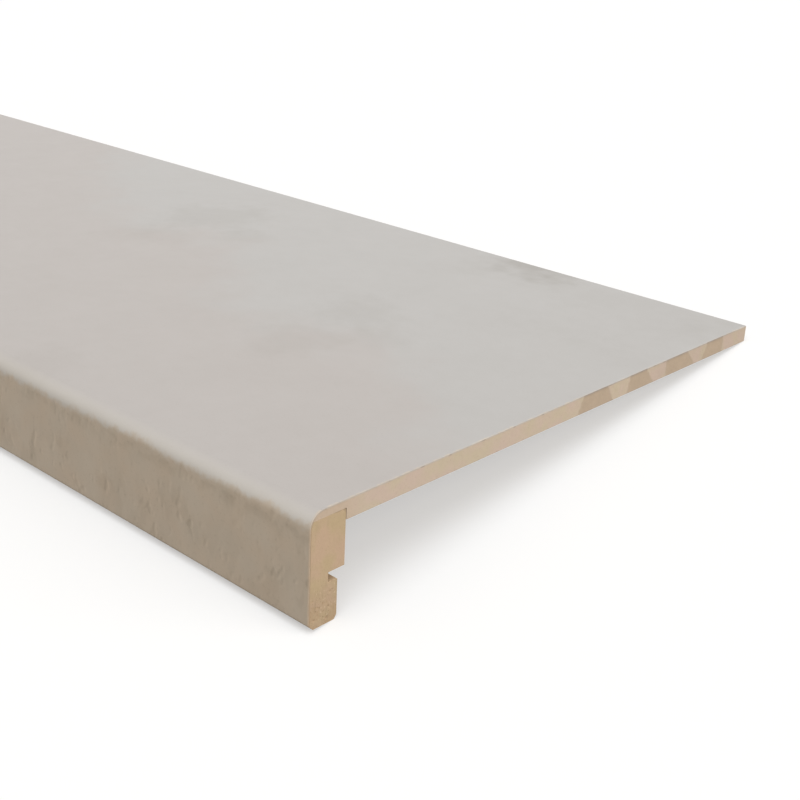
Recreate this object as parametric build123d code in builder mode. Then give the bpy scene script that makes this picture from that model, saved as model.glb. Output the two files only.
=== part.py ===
from build123d import *
import math
import os

# Overlay stair tread: a laminated fibreboard plate with a deep grooved nose.
# It lies unheld, on the heel of its nose and on its lower back edge, so it leans back a little.
# Row frame: +X along the tread, +Y from nose to back, +Z up, origin under the middle on the floor.

# Driving dimensions, in millimetres

# Whole tread
tread_length = 1000.0
tread_depth = 360.0
nose_height = 56.0

# Sheet and plate
laminate_thickness = 0.8
board_thickness = 9.0
nose_radius = 8.0
front_bevel = 2.8

# Nose block
nose_thickness = 20.6
tongue_thickness = 3.4
shoulder_clearance = 0.3
arris_bevel = 1.2

# Groove and lip on the back of the nose block
groove_height = 5.0
groove_web = 11.1
lip_height = 19.7
lip_thickness = 16.6
heel_run = 1.5
heel_rise = 2.0

# Levels and runs of the section, measured back from the front face and up from the nose's lower edge
core_height = nose_height - laminate_thickness
core_radius = nose_radius - laminate_thickness
core_bevel = front_bevel - laminate_thickness
board_underside = core_height - board_thickness
joint_height = core_height - tongue_thickness
shoulder_run = nose_thickness + shoulder_clearance

# Pose at rest: the heel of the lip and the board's lower back edge both touch the floor
heel_contact = lip_thickness - heel_run
rest_tilt = math.atan2(board_underside, tread_depth - heel_contact)
run_direction = (0, math.cos(rest_tilt), -math.sin(rest_tilt))
front_reach = math.sin(rest_tilt) * front_bevel
back_reach = math.cos(rest_tilt) * tread_depth + math.sin(rest_tilt) * nose_height
section_origin = (0, -(front_reach + back_reach) / 2, math.sin(rest_tilt) * heel_contact)
section_plane = Plane(origin=section_origin, x_dir=run_direction, z_dir=(1, 0, 0))

low_left = (Align.MIN, Align.MIN)
low_right = (Align.MAX, Align.MIN)
high_right = (Align.MAX, Align.MAX)

# Outline of the glued core that the laminate wraps: round over the nose, bevelled below it
with BuildSketch() as core_outline:
    with Locations((laminate_thickness, 0)):
        Rectangle(tread_depth - laminate_thickness, core_height, align=low_left)
    front_corners = core_outline.vertices().group_by(Axis.X)[0].sort_by(Axis.Y)
    fillet(front_corners[-1], radius=core_radius)
    chamfer(front_corners[0], length=core_bevel)

# Decor laminate: one sheet over the top, round the nose and down the front
with BuildPart() as decor_laminate:
    with BuildSketch(section_plane):
        with BuildLine():
            face_line = FilletPolyline(
                (tread_depth, nose_height),
                (0, nose_height),
                (0, front_bevel),
                radius=nose_radius,
            )
            glue_line = FilletPolyline(
                (tread_depth, core_height),
                (laminate_thickness, core_height),
                (laminate_thickness, core_bevel),
                radius=core_radius,
            )
            Line(face_line @ 0, glue_line @ 0)
            Line(face_line @ 1, glue_line @ 1)
        make_face()
    extrude(amount=tread_length / 2, both=True)
decor_laminate.part.label = "decor_laminate"

# Tread board: full thickness behind the nose block, a thin tongue over it
with BuildPart() as tread_board:
    with BuildSketch(section_plane):
        with Locations((tread_depth, core_height)):
            Rectangle(tread_depth - laminate_thickness, board_thickness, align=high_right)
        with Locations((shoulder_run, board_underside)):
            Rectangle(shoulder_run, joint_height - board_underside, align=low_right, mode=Mode.SUBTRACT)
        add(core_outline.sketch, mode=Mode.INTERSECT)
    extrude(amount=tread_length / 2, both=True)
tread_board.part.label = "tread_board"

# Nose block: glued under the tongue, with the riser groove and the thinner lip behind
with BuildPart() as nose_block:
    with BuildSketch(section_plane) as block_section:
        with Locations((laminate_thickness, 0)):
            Rectangle(nose_thickness - laminate_thickness, joint_height, align=low_left)
        back_corners = block_section.vertices().group_by(Axis.X)[-1].sort_by(Axis.Y)
        chamfer(back_corners[-1], length=arris_bevel)
        with Locations((nose_thickness, 0)):
            Rectangle(nose_thickness - lip_thickness, lip_height, align=low_right, mode=Mode.SUBTRACT)
        with Locations((nose_thickness, lip_height)):
            Rectangle(nose_thickness - groove_web, groove_height, align=low_right, mode=Mode.SUBTRACT)
        with BuildLine():
            Polyline(
                (lip_thickness, 0),
                (lip_thickness, heel_rise),
                (heel_contact, 0),
                close=True,
            )
        make_face(mode=Mode.SUBTRACT)
        add(core_outline.sketch, mode=Mode.INTERSECT)
    extrude(amount=tread_length / 2, both=True)
nose_block.part.label = "nose_block"

os.makedirs("parts", exist_ok=True)
export_step(decor_laminate.part, "parts/decor_laminate.step")
export_step(tread_board.part, "parts/tread_board.step")
export_step(nose_block.part, "parts/nose_block.step")
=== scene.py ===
"""Looks of the overlay stair tread: decor sheet, raw fibreboard board and nose block, and a studio."""

import logging
import math
from dataclasses import dataclass, field
from enum import Enum

import bpy
import numpy as np
from mathutils import Matrix, Vector


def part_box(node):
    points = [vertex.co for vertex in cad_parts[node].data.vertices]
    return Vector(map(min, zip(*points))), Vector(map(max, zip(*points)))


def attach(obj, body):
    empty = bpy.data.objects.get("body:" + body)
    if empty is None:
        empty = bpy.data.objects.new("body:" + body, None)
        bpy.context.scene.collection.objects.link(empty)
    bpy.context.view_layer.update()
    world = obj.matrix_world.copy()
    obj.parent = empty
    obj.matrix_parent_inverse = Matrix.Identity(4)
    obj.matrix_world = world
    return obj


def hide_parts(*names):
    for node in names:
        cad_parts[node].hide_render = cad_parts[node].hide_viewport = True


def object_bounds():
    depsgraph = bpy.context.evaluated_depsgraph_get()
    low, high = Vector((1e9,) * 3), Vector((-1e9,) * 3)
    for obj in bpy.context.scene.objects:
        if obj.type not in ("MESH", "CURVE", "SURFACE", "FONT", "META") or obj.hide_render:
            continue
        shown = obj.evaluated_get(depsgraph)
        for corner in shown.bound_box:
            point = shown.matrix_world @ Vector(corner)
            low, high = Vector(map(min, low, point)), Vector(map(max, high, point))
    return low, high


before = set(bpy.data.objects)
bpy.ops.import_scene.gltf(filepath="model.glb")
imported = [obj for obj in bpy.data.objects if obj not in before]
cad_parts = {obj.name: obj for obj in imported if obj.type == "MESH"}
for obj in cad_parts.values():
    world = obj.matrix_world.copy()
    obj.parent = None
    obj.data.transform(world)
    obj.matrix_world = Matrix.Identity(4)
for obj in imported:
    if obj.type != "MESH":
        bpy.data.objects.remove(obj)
cad_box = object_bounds()

log = logging.getLogger("stair_tread")

MM = 0.001
HALF_LENGTH = (cad_box[1][0] - cad_box[0][0]) / 2
IMAGE_SIDE = 800
SENSOR_WIDTH = 36.0
NOISE_MEAN = 0.5
TONE_GAIN = 4.0

Colour = tuple[float, float, float, float]
Socket = bpy.types.NodeSocket
Value = float | tuple | Socket
Inputs = dict[str | int, Value]
Pair = tuple[float, float]
Triple = tuple[float, float, float]

WHITE: Colour = (1.0, 1.0, 1.0, 1.0)
BLACK: Colour = (0.0, 0.0, 0.0, 1.0)


class MapName(Enum):
    """Names of the maps that the pieces carry for their materials."""

    SECTION = "section"
    SHEET = "sheet"
    SAWN = "sawn"
    LAYER = "layer"


class GroupName(Enum):
    """Names of the shader groups that several finishes share."""

    CLOUDS = "soft_clouds"
    SPECKS = "fine_specks"
    FIBRES = "fibre_grain"
    PATCHES = "saw_patches"


def srgb(red: int, green: int, blue: int) -> Colour:
    """Turn an 8-bit display colour into the linear colour that shaders take.

    Args:
        red: Red, 0 to 255.
        green: Green, 0 to 255.
        blue: Blue, 0 to 255.

    Returns:
        Linear red, green, blue and an alpha of 1.
    """
    parts = [channel / 255 for channel in (red, green, blue)]
    linear = [part / 12.92 if part <= 0.04045 else ((part + 0.055) / 1.055) ** 2.4 for part in parts]
    return (*linear, 1.0)


@dataclass(frozen=True)
class TreadSection:
    """Sizes of the cross-section in metres: run goes back from the front face, height up from the foot."""

    depth: float = 360 * MM
    nose_height: float = 56 * MM
    sheet: float = 0.8 * MM
    board: float = 9 * MM
    nose_radius: float = 8 * MM
    front_bevel: float = 2.8 * MM
    nose_thickness: float = 20.6 * MM
    tongue: float = 3.4 * MM
    shoulder_clearance: float = 0.3 * MM
    arris_bevel: float = 1.2 * MM
    groove_height: float = 5 * MM
    groove_web: float = 11.1 * MM
    lip_height: float = 19.7 * MM
    lip_thickness: float = 16.6 * MM
    heel_run: float = 1.5 * MM
    heel_rise: float = 2 * MM

    @property
    def core_height(self) -> float:
        """Height of the glued core under the sheet."""
        return self.nose_height - self.sheet

    @property
    def underside(self) -> float:
        """Height of the board's underside."""
        return self.core_height - self.board

    @property
    def joint_height(self) -> float:
        """Height of the glue joint between the tongue and the nose block."""
        return self.core_height - self.tongue

    @property
    def shoulder_run(self) -> float:
        """Run of the board's shoulder behind the nose block."""
        return self.nose_thickness + self.shoulder_clearance

    @property
    def rest_tilt(self) -> float:
        """Angle by which the tread leans back when it lies on its heel and its lower back edge."""
        return math.atan2(self.underside, self.depth - self.lip_thickness + self.heel_run)

    def core_front(self, height: np.ndarray) -> np.ndarray:
        """Give the run of the core's front line at each height.

        It is the sheet's thickness on the straight part. Below, a 45 degree bevel adds what is missing to its
        top. Above, it follows the quarter circle of the core's nose: radius minus the root of radius squared
        less the height over the circle's centre squared.

        Args:
            height: Heights over the nose's foot.

        Returns:
            The run of the front line at those heights.
        """
        radius = self.nose_radius - self.sheet
        bevel_top = self.front_bevel - self.sheet
        over_centre = np.clip(height - (self.core_height - radius), 0, radius)
        round_off = radius - np.sqrt(radius**2 - over_centre**2)
        return self.sheet + np.maximum(bevel_top - height, 0) + round_off

    def place(self, x: np.ndarray, section: np.ndarray) -> np.ndarray:
        """Put points of the section into the row frame.

        The section's plane is turned about the length by the resting tilt. Its lowest point touches the floor
        and the middle of its reach stands over the origin.

        Args:
            x: Places along the tread.
            section: Run and height, in the last axis.

        Returns:
            Row-frame points, with the coordinates in the last axis.
        """
        tilt_sine = math.sin(self.rest_tilt)
        tilt_cosine = math.cos(self.rest_tilt)
        front_reach = tilt_sine * self.front_bevel
        back_reach = tilt_cosine * self.depth + tilt_sine * self.nose_height
        run, height = section[..., 0], section[..., 1]
        y = run * tilt_cosine + height * tilt_sine - (front_reach + back_reach) / 2
        z = height * tilt_cosine - run * tilt_sine + tilt_sine * (self.lip_thickness - self.heel_run)
        return np.stack(np.broadcast_arrays(x, y, z), axis=-1)


@dataclass(frozen=True)
class LatticeNoise:
    """Smooth random field: random values on a square lattice, blended with 3t² - 2t³ between them."""

    seed: int
    pitch: float
    side: int = 256

    def sample(self, first: np.ndarray, second: np.ndarray) -> np.ndarray:
        """Read the field.

        Args:
            first: First coordinates.
            second: Second coordinates, of the same shape.

        Returns:
            Values from 0 to 1.
        """
        table = np.random.default_rng(self.seed).random((self.side, self.side))
        cells = np.stack((first, second)) / self.pitch
        low = np.floor(cells).astype(int)
        share = cells - low
        blend = share * share * (3 - 2 * share)
        row, column = low % self.side
        next_row, next_column = (low + 1) % self.side
        near = table[row, column] * (1 - blend[1]) + table[row, next_column] * blend[1]
        far = table[next_row, column] * (1 - blend[1]) + table[next_row, next_column] * blend[1]
        return near * (1 - blend[0]) + far * blend[0]


@dataclass(frozen=True)
class SectionGrid:
    """A cross-section as rows and columns of (run, height) points, with the cells that are solid."""

    points: np.ndarray
    filled: np.ndarray

    def numbers(self) -> np.ndarray:
        """Number the grid's points row by row."""
        rows, columns = self.points.shape[:2]
        return np.arange(rows * columns).reshape(rows, columns)

    def corners(self) -> tuple[np.ndarray, ...]:
        """Give each cell's four point numbers, counter-clockwise seen from the tread's right end."""
        number = self.numbers()
        return number[:-1, :-1], number[:-1, 1:], number[1:, 1:], number[1:, :-1]

    def cells(self) -> np.ndarray:
        """List the solid cells as quads of point numbers."""
        return np.stack([corner[self.filled] for corner in self.corners()], axis=1)

    def rim(self) -> np.ndarray:
        """List the edges with a solid cell on one side only, with that cell on their left.

        Returns:
            The edges, as pairs of point numbers.
        """
        corners = self.corners()
        padded = np.pad(self.filled, 1)
        beyond = (padded[:-2, 1:-1], padded[1:-1, 2:], padded[2:, 1:-1], padded[1:-1, :-2])
        edges = []
        for start, end, neighbour in zip(corners, corners[1:] + corners[:1], beyond):
            bare = self.filled & ~neighbour
            edges.append(np.stack((start[bare], end[bare]), axis=1))
        return np.concatenate(edges)

    def outward(self) -> np.ndarray:
        """Give each rim point's outward normal, and zero elsewhere.

        An edge's normal is its direction turned a quarter clockwise. A rim point takes the unit sum of the
        normals of the edges that meet there.

        Returns:
            One two-part vector for each grid point.
        """
        flat = self.points.reshape(-1, 2)
        edges = self.rim()
        along = flat[edges[:, 1]] - flat[edges[:, 0]]
        normal = np.stack((along[:, 1], -along[:, 0]), axis=1)
        normal /= np.linalg.norm(normal, axis=1, keepdims=True)
        total = np.zeros_like(flat)
        np.add.at(total, edges[:, 0], normal)
        np.add.at(total, edges[:, 1], normal)
        size = np.linalg.norm(total, axis=1, keepdims=True)
        return np.where(size > 0, total / np.maximum(size, 1e-12), 0)

    def corner_share(self) -> np.ndarray:
        """Give the sine of the rim's turn at convex corners, and 0 where it runs straight or turns in.

        Returns:
            One number for each grid point.
        """
        flat = self.points.reshape(-1, 2)
        edges = self.rim()
        along = flat[edges[:, 1]] - flat[edges[:, 0]]
        along /= np.linalg.norm(along, axis=1, keepdims=True)
        arriving = np.zeros_like(flat)
        leaving = np.zeros_like(flat)
        arriving[edges[:, 1]] = along
        leaving[edges[:, 0]] = along
        turn = arriving[:, 0] * leaving[:, 1] - arriving[:, 1] * leaving[:, 0]
        return np.clip(turn, 0, 1)


def bands(bounds: list[np.ndarray], counts: list[int]) -> np.ndarray:
    """Divide each row of a section into bands of columns.

    In a band, a column's run goes straight from the band's left bound to its right one.

    Args:
        bounds: For each bound between bands, its run in every row.
        counts: Number of cells in each band.

    Returns:
        Runs by row and column.
    """
    parts = [bounds[0][:, None]]
    for left, right, count in zip(bounds[:-1], bounds[1:], counts):
        share = np.arange(1, count + 1) / count
        parts.append(left[:, None] + (right - left)[:, None] * share)
    return np.concatenate(parts, axis=1)


def steps(low: float, high: float, pitch: float) -> int:
    """Give the number of equal steps of about the pitch between two values."""
    return max(1, round((high - low) / pitch))


@dataclass
class SweptPiece:
    """A piece of one cross-section that runs the whole length of the tread, with sawn ends."""

    section: TreadSection
    length: float
    name: str
    node: str
    slot: str
    ease: float = 0.12 * MM
    sharp_angle: float = math.radians(35)
    sawn_share: float = 0.9
    gaps_in_eases: tuple[float, ...] = (0, 0.3, 1, 2.5)
    gaps_in_mm: tuple[float, ...] = (1, 3, 10, 40)
    middle_margin: float = 0.1
    middle_count: int = 9
    grid: SectionGrid = field(init=False)

    def __post_init__(self) -> None:
        """Work out the cross-section."""
        self.grid = self.lay_out()

    def lay_out(self) -> SectionGrid:
        """Make the cross-section's grid."""
        raise NotImplementedError

    def end_relief(self, points: np.ndarray) -> np.ndarray:
        """Give how far the sawn end lies inside the tread's end at each section point."""
        raise NotImplementedError

    def rim_inset(self, gap: float, points: np.ndarray) -> np.ndarray:
        """Give how far each rim point is drawn in.

        The edge of a sawn end is a quarter round: its radius less the root of radius squared less the square
        of what is left of the radius at that distance from the end.

        Args:
            gap: Distance from the nearer end.
            points: Section points, two numbers each.

        Returns:
            The inset of each point.
        """
        left_over = np.clip(self.ease - gap, 0, self.ease)
        inset = self.ease - np.sqrt(self.ease**2 - left_over**2)
        return np.full(len(points), inset)

    def stations(self) -> np.ndarray:
        """List the places along the tread where the section is drawn, close together near the ends.

        Returns:
            The places, from the left end to the right one.
        """
        end = self.length / 2
        from_end = np.concatenate((
            np.array(self.gaps_in_eases) * self.ease,
            np.array(self.gaps_in_mm) * MM,
        ))
        middle = np.linspace(-end + self.middle_margin, end - self.middle_margin, self.middle_count)
        return np.concatenate((from_end - end, middle, end - from_end[::-1]))

    def rings(self, stations: np.ndarray) -> np.ndarray:
        """Draw the section at each station.

        A point is the grid's point less its outward normal times its inset. Square corners along the
        tread are eased all the way.

        Args:
            stations: Places along the tread.

        Returns:
            Run and height by station and grid point.
        """
        flat = self.grid.points.reshape(-1, 2)
        outward = self.grid.outward()
        corner = self.grid.corner_share() * self.ease
        gaps = self.length / 2 - np.abs(stations)
        insets = np.stack([np.maximum(self.rim_inset(gap, flat), corner) for gap in gaps])
        return flat - outward * insets[..., None]

    def mesh_arrays(self) -> tuple[np.ndarray, np.ndarray, np.ndarray, np.ndarray]:
        """Sweep the section along the tread and close both ends.

        The two ends hold every solid grid point, and the stations between them only the rim. Walls join each
        rim edge to the same edge at the next station.

        Returns:
            Row-frame points, their section points, their distance from the nearer end, and the quads.
        """
        stations = self.stations()
        rings = self.rings(stations)
        cells = self.grid.cells()
        rim = self.grid.rim()
        solid = np.unique(cells)
        edge_points = np.unique(rim)
        spot = np.full(self.grid.points.shape[0] * self.grid.points.shape[1], -1)
        spot[solid] = np.arange(len(solid))
        rim_spot = np.full(len(spot), -1)
        rim_spot[edge_points] = np.arange(len(edge_points))

        left, right = rings[0][solid], rings[-1][solid]
        between = rings[1:-1][:, edge_points]
        section = np.concatenate((left, right, between.reshape(-1, 2)))
        left_x = stations[0] + self.end_relief(left)
        right_x = stations[-1] - self.end_relief(right)
        between_x = np.repeat(stations[1:-1], len(edge_points))
        x = np.concatenate((left_x, right_x, between_x))

        first_between = 2 * len(solid)
        ring_starts = first_between + np.arange(len(stations) - 2) * len(edge_points)
        ring_numbers = np.concatenate((
            spot[rim][None],
            ring_starts[:, None, None] + rim_spot[rim][None],
            len(solid) + spot[rim][None],
        ))
        near, far = ring_numbers[:-1], ring_numbers[1:]
        walls = np.stack((near[..., 0], near[..., 1], far[..., 1], far[..., 0]), axis=-1).reshape(-1, 4)
        left_end = spot[cells][:, ::-1]
        right_end = len(solid) + spot[cells]
        quads = np.concatenate((walls, left_end, right_end))
        nearer_end = self.length / 2 - np.abs(x)
        return self.section.place(x, section), section, nearer_end, quads

    def build(self) -> bpy.types.Object:
        """Make the piece's mesh object, with its maps, riding on the tread and shown in its CAD node's place.

        Returns:
            The new object, at the origin.
        """
        points, section, nearer_end, quads = self.mesh_arrays()
        mesh = bpy.data.meshes.new(self.name)
        mesh.from_pydata(points, [], quads)
        self.write_maps(mesh, points, section, nearer_end)
        mesh.polygons.foreach_set("use_smooth", np.ones(len(mesh.polygons), bool))
        mesh.set_sharp_from_angle(angle=self.sharp_angle)
        mesh.update()
        piece = bpy.data.objects.new(self.name, mesh)
        bpy.context.scene.collection.objects.link(piece)
        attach(piece, "root")
        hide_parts(self.node)
        return piece

    def write_maps(
        self, mesh: bpy.types.Mesh, points: np.ndarray, section: np.ndarray, nearer_end: np.ndarray
    ) -> None:
        """Give the mesh the maps that its material reads: the section's coordinates, and where it is sawn.

        Args:
            mesh: The piece's mesh.
            points: Row-frame points; not used.
            section: Section points.
            nearer_end: Distance of each point from the nearer end.
        """
        self.write_uv(mesh, MapName.SECTION, section)
        at_end = nearer_end < self.ease * self.sawn_share
        sawn = at_end | (section[:, 0] > self.section.depth - self.ease)
        self.write_attribute(mesh, MapName.SAWN, sawn.astype(np.float32))

    @staticmethod
    def write_uv(mesh: bpy.types.Mesh, name: MapName, values: np.ndarray) -> None:
        """Write one pair of coordinates for each point as a UV map.

        Args:
            mesh: The mesh that gets the map.
            name: The map's name.
            values: Two numbers for each point.
        """
        corners = np.zeros(len(mesh.loops), np.int32)
        mesh.loops.foreach_get("vertex_index", corners)
        layer = mesh.uv_layers.new(name=name.value)
        layer.uv.foreach_set("vector", values[corners].astype(np.float32).ravel())

    @staticmethod
    def write_attribute(mesh: bpy.types.Mesh, name: MapName, values: np.ndarray) -> None:
        """Write one number for each point as an attribute.

        Args:
            mesh: The mesh that gets the attribute.
            name: The attribute's name.
            values: One number for each point.
        """
        layer = mesh.attributes.new(name.value, "FLOAT", "POINT")
        layer.data.foreach_set("value", values.astype(np.float32))


@dataclass
class DecorSheet(SweptPiece):
    """The post-formed decor sheet: flat over the top, round the nose and down the front."""

    layers: int = 4
    pitch: float = 0.6 * MM
    nose_steps: int = 28
    chip_depth: float = 0.3 * MM
    chip_reach: float = 0.5 * MM
    chip_weights: Pair = (0.6, 0.7)
    chip_start: float = 0.62
    chip_span: float = 0.5
    saw_marks: float = 0.05 * MM
    mark_stretch: float = 0.2

    def sheet_run(self) -> np.ndarray:
        """Give each column's way along the sheet's face, from the back edge.

        Returns:
            One length for each column of the section's grid.
        """
        size = self.section
        flat = size.depth - size.nose_radius
        arc = size.nose_radius * math.pi / 2
        drop = size.nose_height - size.nose_radius - size.front_bevel
        over_top = np.linspace(0, flat, steps(0, flat, self.pitch) + 1)
        over_nose = flat + arc * np.arange(1, self.nose_steps + 1) / self.nose_steps
        down_steps = steps(0, drop, self.pitch)
        down_front = flat + arc + drop * np.arange(1, down_steps + 1) / down_steps
        return np.concatenate((over_top, over_nose, down_front))

    def lay_out(self) -> SectionGrid:
        """Make the sheet's section: rows go from the face to the glue side, columns along the sheet.

        On the top a point is the back edge less the way along the sheet. On the nose it is the circle's
        centre plus the radius turned by way over radius. On the front the face ends at the top of the
        bevel, and each layer under it ends lower by its own depth.

        Returns:
            The section's grid, solid all over.
        """
        size = self.section
        way = self.sheet_run()
        flat = size.depth - size.nose_radius
        turn = np.clip((way - flat) / size.nose_radius, 0, math.pi / 2)
        outward = np.stack((-np.sin(turn), np.cos(turn)), axis=1)
        layer = np.linspace(0, size.sheet, self.layers + 1)[:, None]
        down = np.maximum(way - flat - size.nose_radius * math.pi / 2, 0)
        stretch = 1 + layer / down.max()
        centre = np.stack((
            size.depth - np.minimum(way, flat) + 0 * layer,
            size.nose_height - size.nose_radius - down * stretch,
        ), axis=-1)
        radius = (size.nose_radius - layer)[..., None]
        points = centre + outward * radius
        filled = np.ones((self.layers, len(way) - 1), bool)
        return SectionGrid(points, filled)

    def chips(self) -> np.ndarray:
        """Give the depth of the saw's chips along the sheet's face edge: the top part of a fine noise.

        Returns:
            One depth for each column of the section's grid.
        """
        way = self.sheet_run()
        fine = LatticeNoise(seed=5, pitch=1.7 * MM).sample(way, way * 0)
        broad = LatticeNoise(seed=9, pitch=11 * MM).sample(way, way * 0)
        fine_weight, broad_weight = self.chip_weights
        noise = fine * fine_weight + broad * broad_weight
        share = np.clip((noise - self.chip_start) / self.chip_span, 0, 1)
        return self.chip_depth * share

    def rings(self, stations: np.ndarray) -> np.ndarray:
        """Draw the section at each station, with the face chipped near the sawn ends.

        A chip lowers the face by its depth times the square of the share of its reach that is left at
        that distance from the end. The layers under it close up.

        Args:
            stations: Places along the tread.

        Returns:
            Run and height by station and grid point.
        """
        eased = super().rings(stations).reshape(len(stations), *self.grid.points.shape)
        gaps = self.length / 2 - np.abs(stations)
        fade = np.clip(1 - gaps / self.chip_reach, 0, 1) ** 2
        depth = self.chips()[None, None, :] * fade[:, None, None]
        layer = np.linspace(1, 0, self.layers + 1)[None, :, None]
        across = self.grid.points[-1] - self.grid.points[0]
        inward = across / np.linalg.norm(across, axis=1, keepdims=True)
        return (eased + inward * (depth * layer)[..., None]).reshape(len(stations), -1, 2)

    def end_relief(self, points: np.ndarray) -> np.ndarray:
        """Give a nearly flat cut: a few hundredths of a millimetre of saw marks."""
        height = points[:, 1] * self.mark_stretch
        return self.saw_marks * LatticeNoise(seed=3, pitch=0.9 * MM).sample(points[:, 0], height)

    def write_maps(
        self, mesh: bpy.types.Mesh, points: np.ndarray, section: np.ndarray, nearer_end: np.ndarray
    ) -> None:
        """Give the mesh the sheet's own coordinates, in metres, and the depth under its face from 0 to 1.

        Args:
            mesh: The sheet's mesh.
            points: Row-frame points.
            section: Section points.
            nearer_end: Distance of each point from the nearer end; not used.
        """
        size = self.section
        over_centre = section - np.array((size.nose_radius, size.nose_height - size.nose_radius))
        round_nose = (over_centre[:, 0] < 0) & (over_centre[:, 1] > 0)
        turn = np.arctan2(-over_centre[:, 0], np.maximum(over_centre[:, 1], 1e-9))
        on_top = over_centre[:, 0] >= 0
        way_nose = size.depth - size.nose_radius + np.clip(turn, 0, math.pi / 2) * size.nose_radius
        way = np.where(on_top, size.depth - section[:, 0], way_nose - np.minimum(over_centre[:, 1], 0))
        from_centre = np.where(
            round_nose,
            np.linalg.norm(over_centre, axis=1),
            np.where(on_top, over_centre[:, 1], -over_centre[:, 0]),
        )
        depth = (size.nose_radius - from_centre) / size.sheet
        self.write_uv(mesh, MapName.SHEET, np.stack((points[:, 0], way), axis=1))
        self.write_attribute(mesh, MapName.LAYER, np.clip(depth, 0, 1))


@dataclass
class TreadBoard(SweptPiece):
    """The fibreboard plate, with the thin tongue that lies over the nose block."""

    row_pitch: float = 0.6 * MM
    column_pitch: float = 0.9 * MM
    torn_depth: float = 0.1 * MM

    def lay_out(self) -> SectionGrid:
        """Make the board's section: full thickness behind the shoulder, the tongue alone in front of it.

        Returns:
            The section's grid. The cells under the tongue are empty.
        """
        size = self.section
        lower = steps(size.underside, size.joint_height, self.row_pitch)
        upper = steps(size.joint_height, size.core_height, self.row_pitch / 2)
        height = np.concatenate((
            np.linspace(size.underside, size.joint_height, lower + 1),
            np.linspace(size.joint_height, size.core_height, upper + 1)[1:],
        ))
        shoulder = np.full_like(height, size.shoulder_run)
        back = np.full_like(height, size.depth)
        counts = [
            steps(size.sheet, size.shoulder_run, self.row_pitch),
            steps(size.shoulder_run, size.depth, self.column_pitch),
        ]
        run = bands([size.core_front(height), shoulder, back], counts)
        points = np.stack(np.broadcast_arrays(run, height[:, None]), axis=-1)
        filled = np.ones((len(height) - 1, sum(counts)), bool)
        filled[:lower, : counts[0]] = False
        return SectionGrid(points, filled)

    def end_relief(self, points: np.ndarray) -> np.ndarray:
        """Give the cut's relief: fine fibres that tear out by up to a tenth of a millimetre."""
        fibres = LatticeNoise(seed=21, pitch=1.3 * MM).sample(points[:, 0], points[:, 1])
        return self.torn_depth * fibres


@dataclass(frozen=True)
class Pit:
    """A small hole torn out of the sawn end, in millimetres on the section."""

    run: float
    height: float
    radius: float
    depth: float


@dataclass
class NoseBlock(SweptPiece):
    """The strip glued under the tongue, with the riser groove and the thinner lip on its back."""

    pitch: float = 0.3 * MM
    glue_fill: float = 0.75 * MM
    pits: tuple[Pit, ...] = (
        Pit(3.2, 4.2, 0.5, 0.5),
        Pit(10.6, 2.6, 0.7, 0.4),
        Pit(12.4, 15.1, 0.5, 0.3),
        Pit(5.0, 9.8, 0.4, 0.3),
        Pit(2.2, 14.0, 0.4, 0.25),
    )
    fine_depth: float = 0.08 * MM
    coarse_depth: float = 0.16 * MM

    def lay_out(self) -> SectionGrid:
        """Make the block's section in three bands of columns: web, lip and full thickness.

        The lip's back line runs in at the heel in proportion to what is missing of the heel's rise, and the
        block's back line runs in at the top in the same way, over what the glue leaves of the arris.

        Returns:
            The section's grid. The groove and the step behind the lip are empty.
        """
        size = self.section
        levels = (0.0, size.lip_height, size.lip_height + size.groove_height, size.joint_height)
        spans = list(zip(levels[:-1], levels[1:]))
        counts = [steps(low, high, self.pitch) for low, high in spans]
        parts = [np.linspace(*span, count + 1)[1:] for span, count in zip(spans, counts)]
        height = np.concatenate(([0.0], *parts))
        web = np.full_like(height, size.groove_web)
        heel_share = np.clip(1 - height / size.heel_rise, 0, 1)
        lip = size.lip_thickness - size.heel_run * heel_share
        arris = np.clip(height - (size.joint_height - size.arris_bevel + self.glue_fill), 0, None)
        back = size.nose_thickness - arris
        columns = [
            steps(size.sheet, size.groove_web, self.pitch),
            steps(size.groove_web, size.lip_thickness, self.pitch),
            steps(size.lip_thickness, size.nose_thickness, self.pitch),
        ]
        run = bands([size.core_front(height), web, lip, back], columns)
        points = np.stack(np.broadcast_arrays(run, height[:, None]), axis=-1)
        filled = np.ones((len(height) - 1, sum(columns)), bool)
        lip_top, groove_top = counts[0], counts[0] + counts[1]
        filled[lip_top:groove_top, columns[0]:] = False
        filled[:groove_top, columns[0] + columns[1]:] = False
        return SectionGrid(points, filled)

    def end_relief(self, points: np.ndarray) -> np.ndarray:
        """Give the cut's relief: fibres, coarser towards the foot, and the pits as bell-shaped hollows.

        Args:
            points: Section points.

        Returns:
            The relief at each point.
        """
        fine = LatticeNoise(seed=33, pitch=0.8 * MM).sample(points[:, 0], points[:, 1])
        coarse = LatticeNoise(seed=35, pitch=2.6 * MM).sample(points[:, 0], points[:, 1])
        low_part = np.clip(1 - points[:, 1] / self.section.lip_height, 0, 1)
        relief = self.fine_depth * fine + self.coarse_depth * coarse * low_part
        for pit in self.pits:
            away = np.hypot(points[:, 0] - pit.run * MM, points[:, 1] - pit.height * MM)
            relief = relief + pit.depth * MM * np.exp(-((away / (pit.radius * MM)) ** 2))
        return relief


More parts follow.
